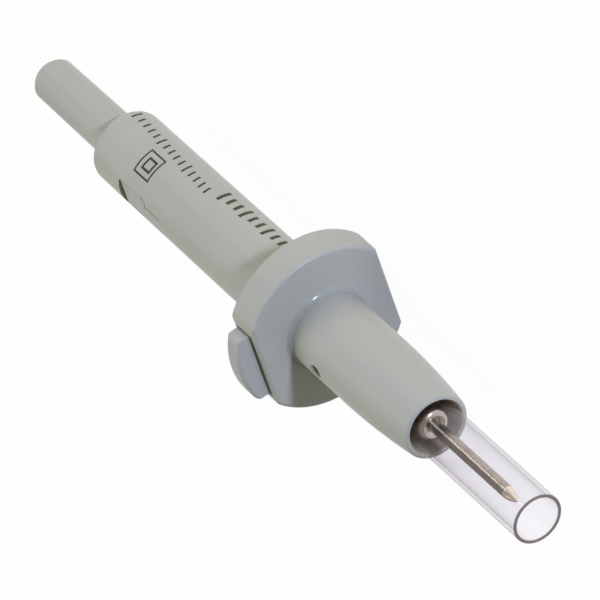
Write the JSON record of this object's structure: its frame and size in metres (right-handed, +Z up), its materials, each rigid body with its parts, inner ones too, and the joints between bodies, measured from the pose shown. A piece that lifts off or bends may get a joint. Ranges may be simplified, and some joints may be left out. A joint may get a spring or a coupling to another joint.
{
  "type": "test probe adapter",
  "caption": "Push-on test probe with a lead socket at the rear, a finger guard, a contact pin and a spring-loaded clear sheath that slides back into the handle.",
  "frame": {"origin": "centre of the lead socket's mouth, 0.9 mm inside the stub's rear rim", "axes": "+X along the probe's axis towards the pin's tip, +Z up on the side of the sheath latch, with the finger guard's flats facing +Z and -Z so that the probe lies on the lower one"},
  "size_m": [0.1336, 0.0268, 0.0257],
  "materials": {
    "grey_plastic": "satin moulded",
    "grey_plastic_latch": "satin moulded",
    "clear_plastic": "polished",
    "white_plastic": "satin moulded",
    "nickel": "nickel plated",
    "brass": "turned",
    "spring_steel": "drawn wire"
  },
  "bodies": {
    "handle": {"housing": "grey_plastic", "rear_insulator": "grey_plastic", "socket_tube": "brass", "retaining_ring": "spring_steel", "contact_rod": "brass", "rod_sleeve": "white_plastic", "pin_collar": "nickel", "probe_pin": "nickel", "spring_seat": "white_plastic", "sheath_spring": "spring_steel", "latch_springs": "spring_steel", "latch_stop_pins": "spring_steel"},
    "sliding_sheath": {"sheath": "clear_plastic", "sheath_carrier": "white_plastic"},
    "latch": {"latch_plate": "grey_plastic_latch"}
  },
  "joints": [
    {"name": "sheath_slide", "type": "slide", "parent": "handle", "child": "sliding_sheath", "axis": [-1, 0, 0], "range_m": [0, 0.019], "stiffness_N_per_m": 60, "springref_m": -0.01, "deforming": ["sheath_spring"]},
    {"name": "latch_press", "type": "slide", "parent": "handle", "child": "latch", "axis": [0, 0, -1], "range_m": [0, 0.0014], "stiffness_N_per_m": 300, "springref_m": -0.0015, "deforming": ["latch_springs"]}
  ]
}
